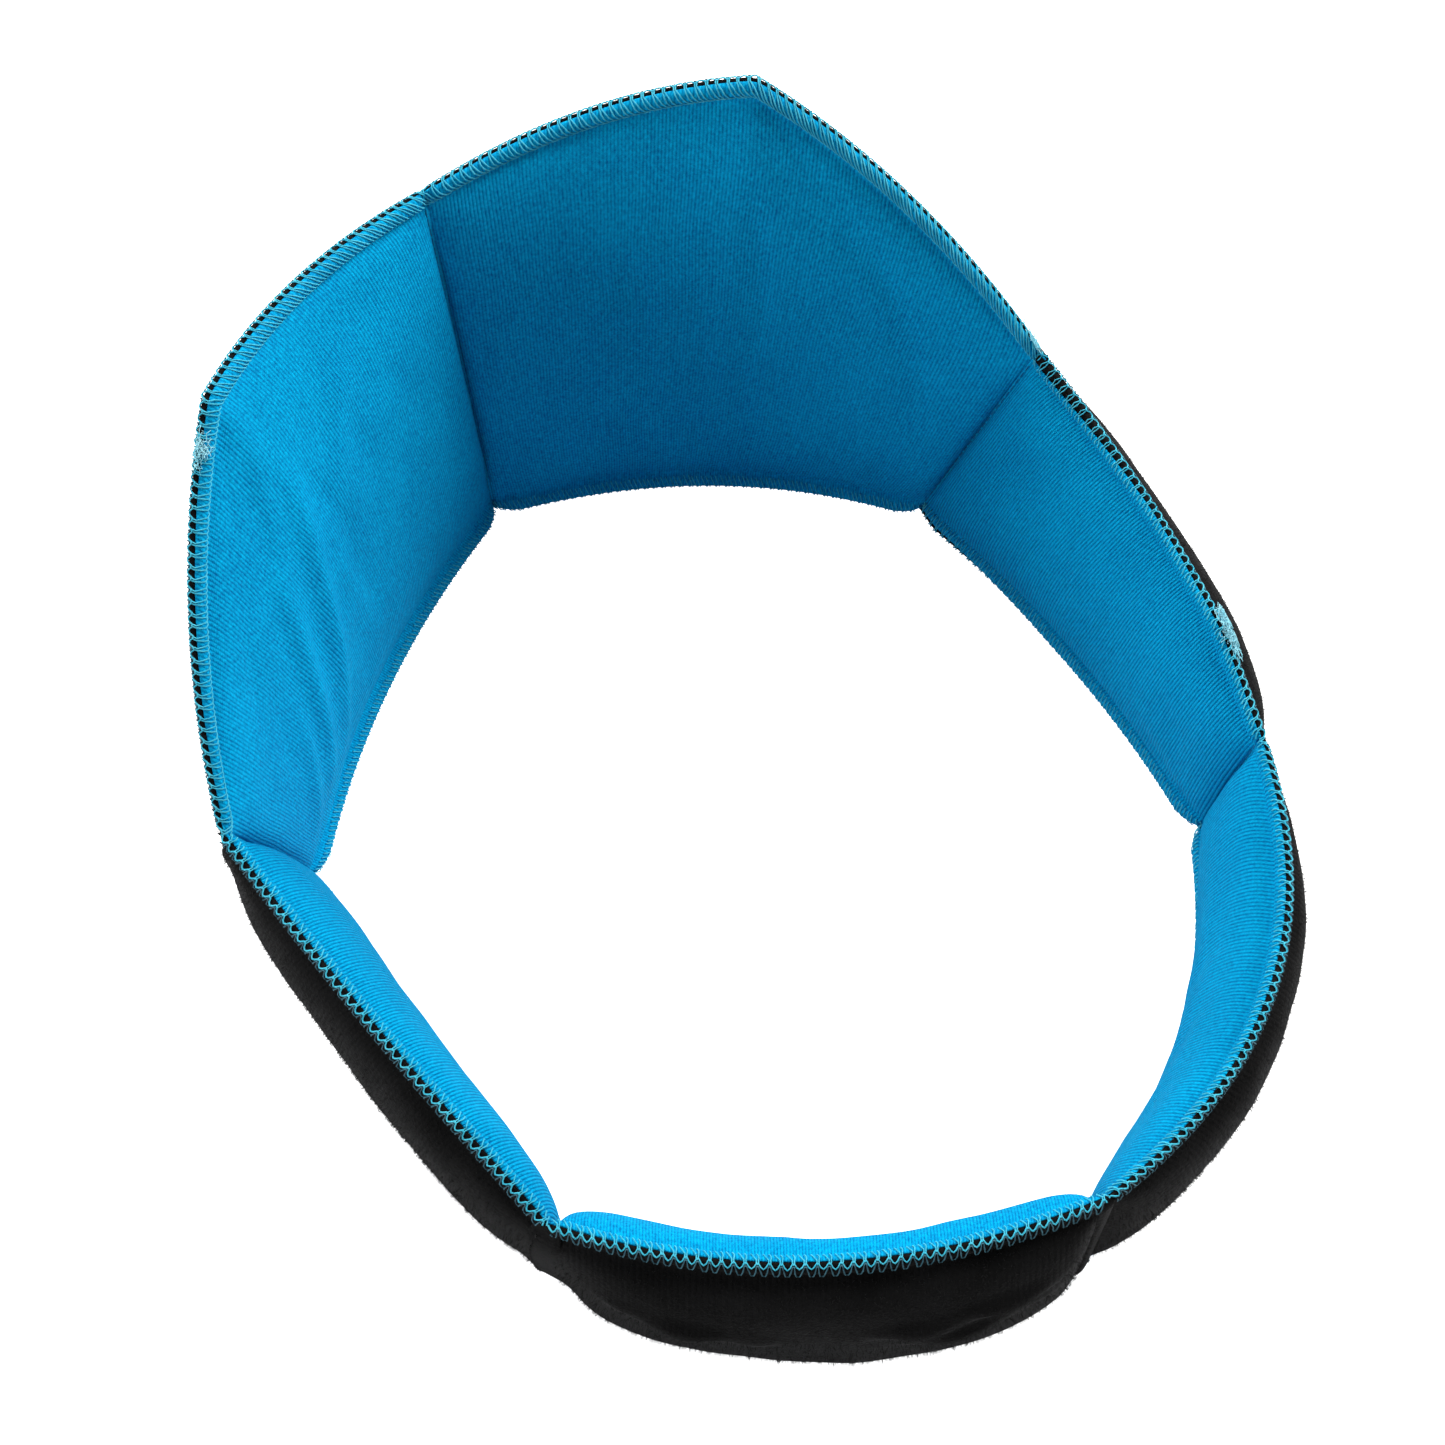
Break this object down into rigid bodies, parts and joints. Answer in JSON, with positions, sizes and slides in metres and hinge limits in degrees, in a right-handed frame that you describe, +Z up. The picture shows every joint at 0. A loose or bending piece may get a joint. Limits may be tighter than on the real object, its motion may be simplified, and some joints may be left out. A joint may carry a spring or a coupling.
{
  "type": "elizabethan collar",
  "caption": "Soft padded recovery collar for a dog: foam-filled cloth pads sewn side by side and closed into a ring, tall at one side and low at the closure.",
  "frame": {"origin": "middle of the collar's bounding box at the neck edge it stands on", "axes": "+Z up from the neck edge to the rim, +Y towards the centre seam between the two tall pads, -Y towards the closure"},
  "size_m": [0.1952, 0.2254, 0.1142],
  "materials": {
    "velour_black": "short-pile velour",
    "jersey_blue": "fine jersey knit",
    "foam": "open-cell foam",
    "thread_aqua": "overlock thread",
    "hook_tape": "hook tape"
  },
  "bodies": {
    "centre_right": {"centre_right_cover": "velour_black", "centre_right_lining": "jersey_blue", "centre_right_foam": "foam", "centre_right_rim_edging": "thread_aqua", "centre_right_neck_edging": "thread_aqua", "centre_seam": "thread_aqua", "right_shoulder_seam": "thread_aqua"},
    "side_right": {"side_right_cover": "velour_black", "side_right_lining": "jersey_blue", "side_right_foam": "foam", "side_right_rim_edging": "thread_aqua", "side_right_neck_edging": "thread_aqua", "right_end_seam": "thread_aqua"},
    "end_right": {"end_right_cover": "velour_black", "end_right_lining": "jersey_blue", "end_right_foam": "foam", "end_right_rim_edging": "thread_aqua", "end_right_neck_edging": "thread_aqua"},
    "end_left": {"end_left_cover": "velour_black", "end_left_lining": "jersey_blue", "end_left_foam": "foam", "end_left_rim_edging": "thread_aqua", "end_left_neck_edging": "thread_aqua", "hook_patch": "hook_tape", "end_left_closing_edge": "thread_aqua"},
    "side_left": {"side_left_cover": "velour_black", "side_left_lining": "jersey_blue", "side_left_foam": "foam", "side_left_rim_edging": "thread_aqua", "side_left_neck_edging": "thread_aqua", "left_end_seam": "thread_aqua"},
    "centre_left": {"centre_left_cover": "velour_black", "centre_left_lining": "jersey_blue", "centre_left_foam": "foam", "centre_left_rim_edging": "thread_aqua", "centre_left_neck_edging": "thread_aqua", "left_shoulder_seam": "thread_aqua"},
    "closure_tongue": {"tongue_seam": "thread_aqua", "tongue_cover": "velour_black", "tongue_lining": "jersey_blue", "tongue_edging": "thread_aqua"}
  },
  "joints": [
    {"name": "centre_hinge", "type": "hinge", "parent": "centre_right", "child": "centre_left", "pos_m": [-0.00068, 0.10393, 0], "axis": [0, -0.0698, -0.9976], "range_deg": [0, 70]},
    {"name": "left_shoulder_hinge", "type": "hinge", "parent": "centre_left", "child": "side_left", "pos_m": [-0.0826, 0.04658, 0], "axis": [0.1865, 0.213, -0.9591], "range_deg": [0, 55]},
    {"name": "left_end_hinge", "type": "hinge", "parent": "side_left", "child": "end_left", "pos_m": [-0.0826, -0.05342, 0], "axis": [0.0303, 0.0551, -0.998], "range_deg": [0, 55]},
    {"name": "right_shoulder_hinge", "type": "hinge", "parent": "centre_right", "child": "side_right", "pos_m": [0.08123, 0.04658, 0], "axis": [0.1865, -0.213, 0.9591], "range_deg": [0, 55]},
    {"name": "right_end_hinge", "type": "hinge", "parent": "side_right", "child": "end_right", "pos_m": [0.08123, -0.05342, 0], "axis": [0.0303, -0.0551, 0.998], "range_deg": [0, 55]},
    {"name": "tongue_hinge", "type": "hinge", "parent": "end_right", "child": "closure_tongue", "pos_m": [-0.00068, -0.11078, 0], "axis": [0, 0.0523, 0.9986], "range_deg": [0, 70]}
  ],
  "couplings": [
    {"joint": "right_shoulder_hinge", "follows": "centre_hinge", "ratio": 0.78571},
    {"joint": "right_end_hinge", "follows": "centre_hinge", "ratio": 0.78571},
    {"joint": "tongue_hinge", "follows": "centre_hinge", "ratio": 1}
  ]
}
